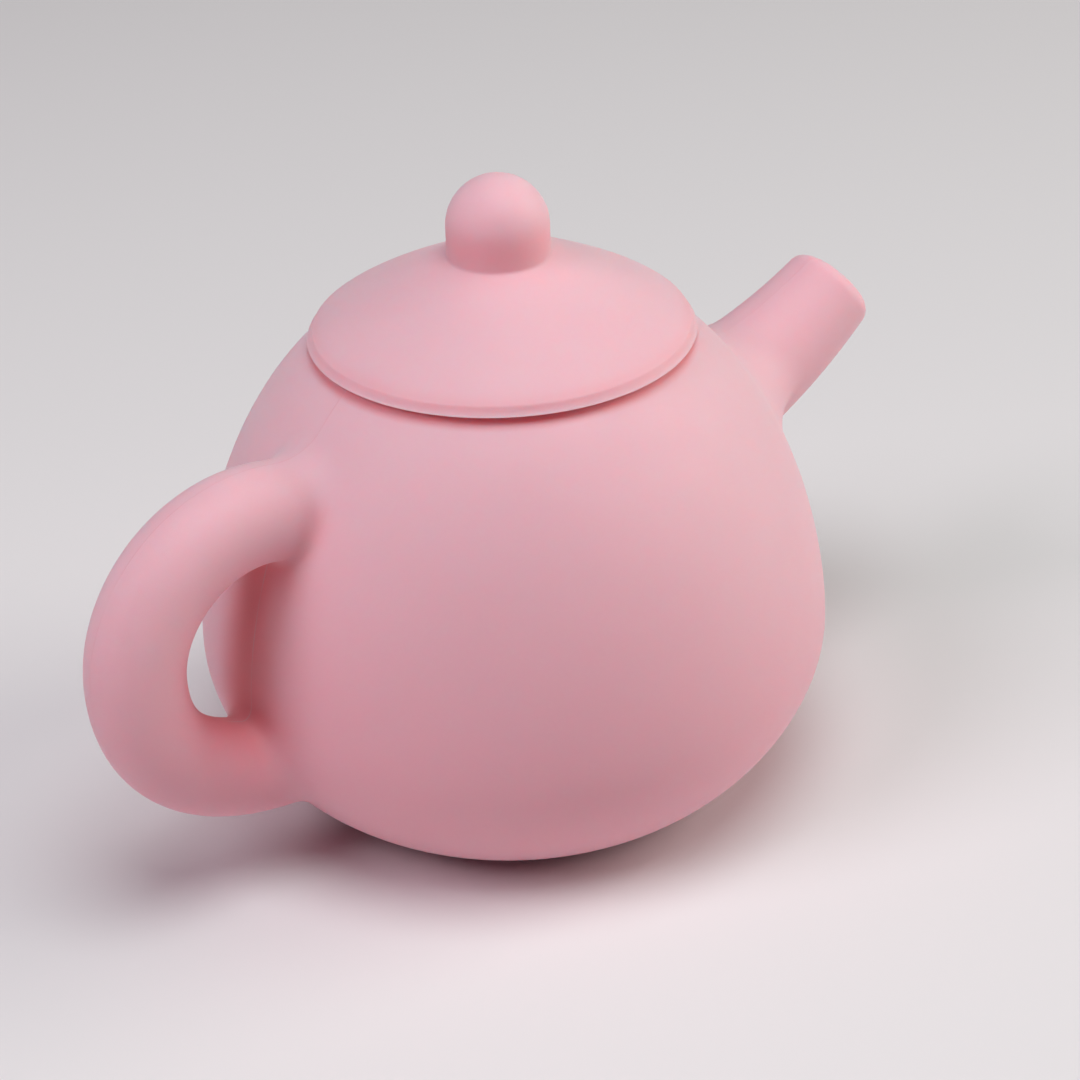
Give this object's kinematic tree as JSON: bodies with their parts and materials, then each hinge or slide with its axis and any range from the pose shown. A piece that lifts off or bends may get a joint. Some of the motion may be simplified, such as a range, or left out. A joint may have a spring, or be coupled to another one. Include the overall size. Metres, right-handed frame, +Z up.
{
  "type": "toy teapot",
  "caption": "Squat round toy teapot of soft silicone with a short spout, a ring handle and a loose domed lid with a round knob, for pretend play.",
  "frame": {"origin": "centre of the flat base, on the surface that the pot stands on, where the axis of the bowl and lid meets it", "axes": "+Z up along the axis of the bowl and lid, +X towards the spout, -X towards the handle"},
  "size_m": [0.134, 0.09, 0.0924],
  "materials": {
    "silicone": "matte pastel pink silicone"
  },
  "bodies": {
    "pot": {"bowl": "silicone", "spout": "silicone", "handle": "silicone"},
    "lid_ring": {"lid_plug": "silicone"},
    "lid": {"lid_cap": "silicone", "lid_knob": "silicone"}
  },
  "joints": [
    {"name": "lid_lift", "type": "slide", "parent": "pot", "child": "lid_ring", "axis": [0, 0, 1], "range_m": [0, 0.05]},
    {"name": "lid_turn", "type": "hinge", "parent": "lid_ring", "child": "lid", "pos_m": [0, 0, 0.0698], "axis": [0, 0, 1], "continuous": true}
  ]
}
